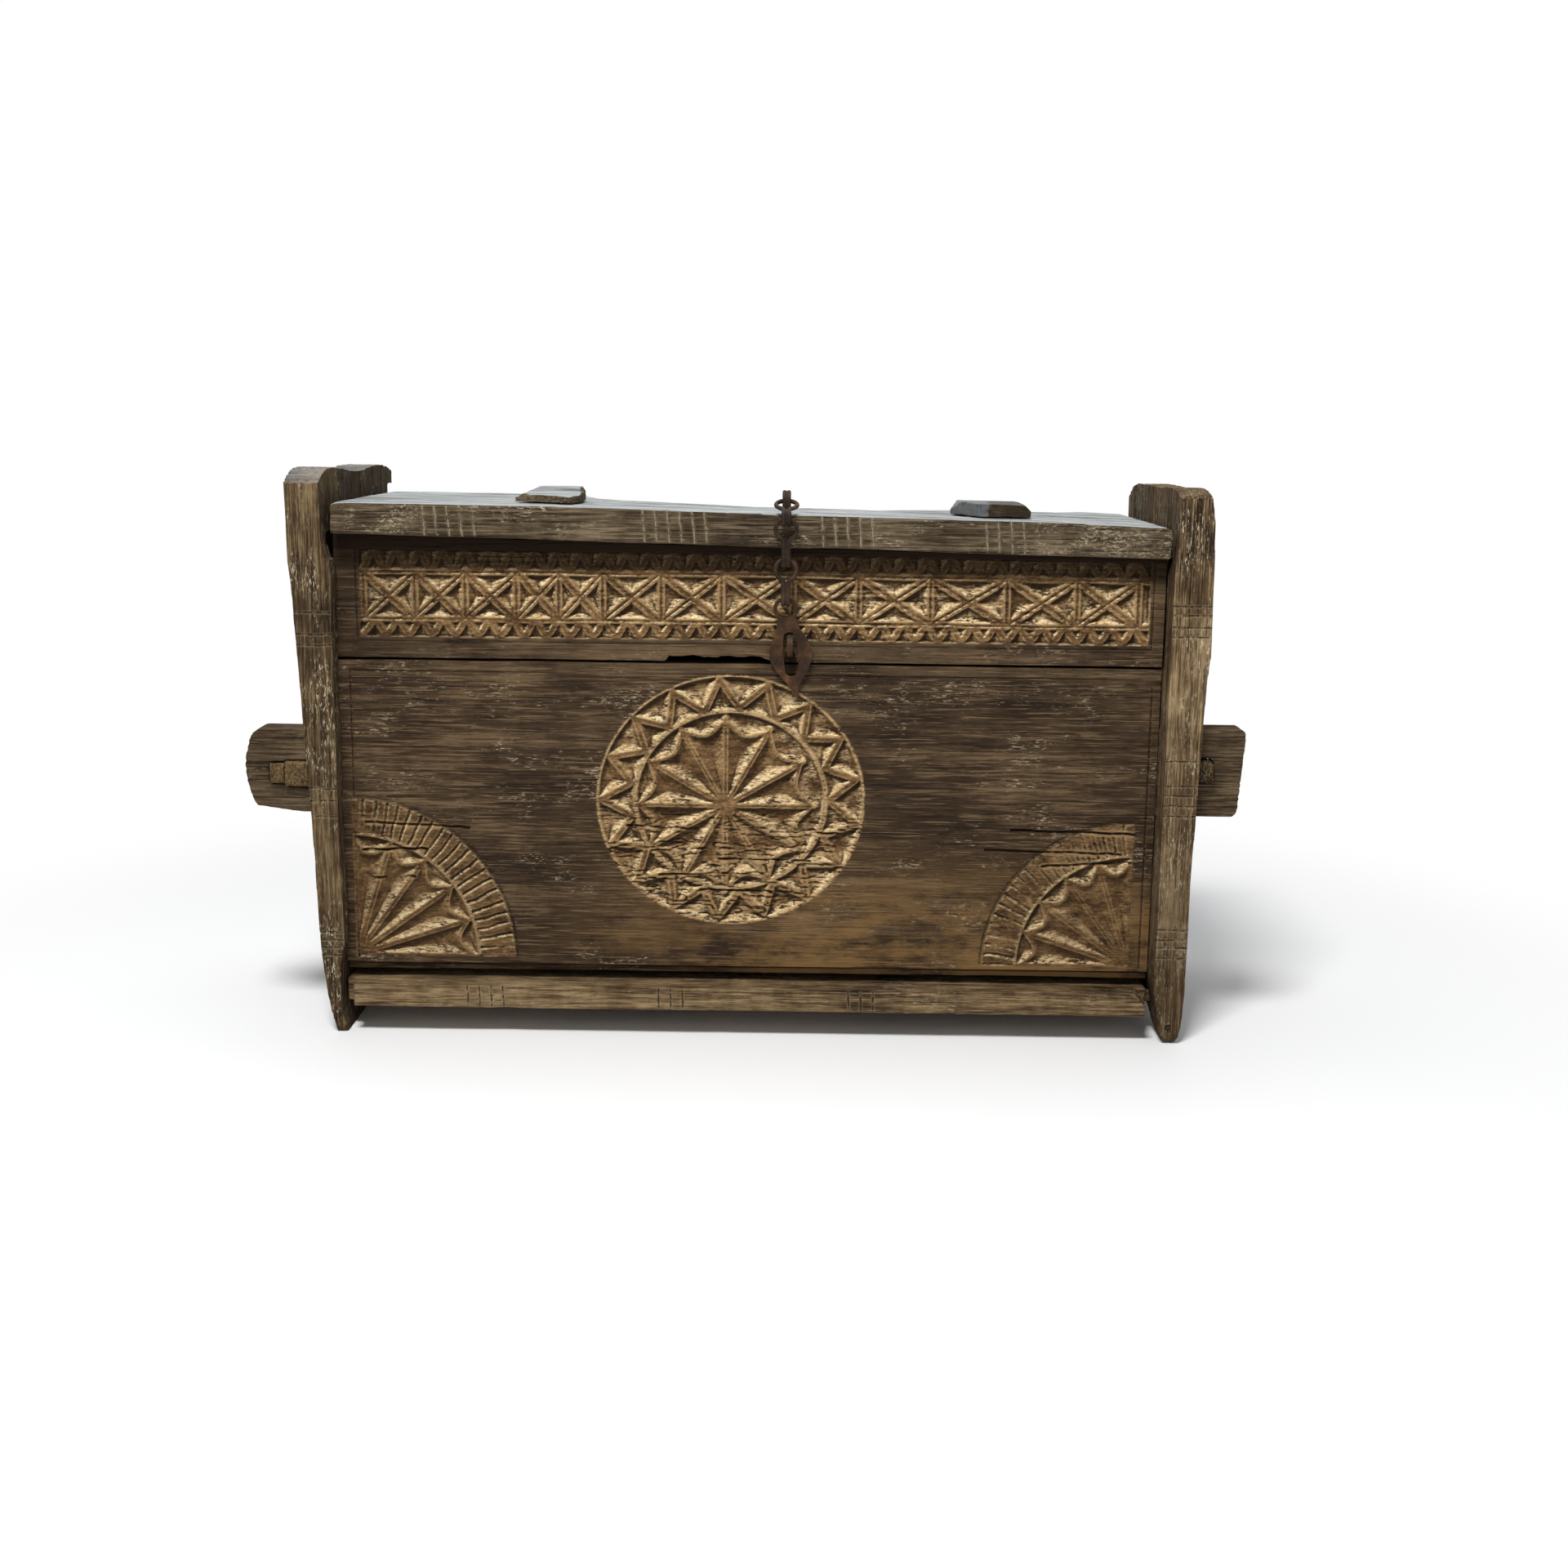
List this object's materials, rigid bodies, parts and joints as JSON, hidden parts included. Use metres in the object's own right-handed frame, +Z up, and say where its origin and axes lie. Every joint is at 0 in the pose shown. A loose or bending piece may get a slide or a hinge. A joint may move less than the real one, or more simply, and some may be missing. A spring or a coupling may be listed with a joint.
{
  "type": "storage chest",
  "caption": "Hewn plank storage chest on end-board feet, with through tenons, carved front, pin-hinged lid, and a chain with a slotted hasp over a front staple.",
  "frame": {"origin": "on the floor, under the middle of the whole chest", "axes": "+Z up, the carved front faces -Y, +X to the right seen from the front"},
  "size_m": [1.2493, 0.404, 0.7077],
  "materials": {
    "post_wood": "weathered, dull",
    "carved_wood": "weathered carving, dull",
    "plank_wood": "rough, dull",
    "lid_wood": "greyed, dull",
    "peg_wood": "rough, dull",
    "dark_iron": "dark, worn",
    "rusty_iron": "rusty"
  },
  "bodies": {
    "carcass": {"left_end_board": "post_wood", "right_end_board": "post_wood", "front_upper_board": "carved_wood", "front_lower_board": "carved_wood", "back_upper_board": "plank_wood", "back_lower_board": "plank_wood", "floor_board": "plank_wood", "left_tenon_peg": "peg_wood", "left_tenon_wedge": "peg_wood", "right_tenon_peg": "peg_wood", "back_left_tenon_peg": "peg_wood", "back_right_tenon_peg": "peg_wood", "front_staple": "dark_iron", "foot_nail": "dark_iron"},
    "lid": {"lid_board": "lid_wood", "left_lid_pin": "peg_wood", "right_lid_pin": "peg_wood", "left_lid_block": "lid_wood", "right_lid_block": "lid_wood", "lid_staple": "dark_iron"},
    "link_1": {"chain_link_1": "dark_iron"},
    "link_2": {"chain_link_2": "dark_iron"},
    "link_3": {"chain_link_3": "dark_iron"},
    "hasp": {"hasp": "rusty_iron"}
  },
  "joints": [
    {"name": "lid_hinge", "type": "hinge", "parent": "carcass", "child": "lid", "pos_m": [0.0045, 0.14985, 0.64054], "axis": [-0.9998, 0, 0.0192], "range_deg": [0, 100]},
    {"name": "link_1_swing", "type": "hinge", "parent": "lid", "child": "link_1", "pos_m": [0.0492, -0.16364, 0.67409], "axis": [-1, 0, 0], "range_deg": [0, 40]},
    {"name": "link_2_swing", "type": "hinge", "parent": "link_1", "child": "link_2", "pos_m": [0.0492, -0.1917, 0.65408], "axis": [-1, 0, 0], "range_deg": [0, 60]},
    {"name": "link_3_swing", "type": "hinge", "parent": "link_2", "child": "link_3", "pos_m": [0.0492, -0.1777, 0.6049], "axis": [-1, 0, 0], "range_deg": [0, 45]},
    {"name": "hasp_swing", "type": "hinge", "parent": "link_3", "child": "hasp", "pos_m": [0.0492, -0.1637, 0.55571], "axis": [-1, 0, 0], "range_deg": [0, 60]}
  ]
}
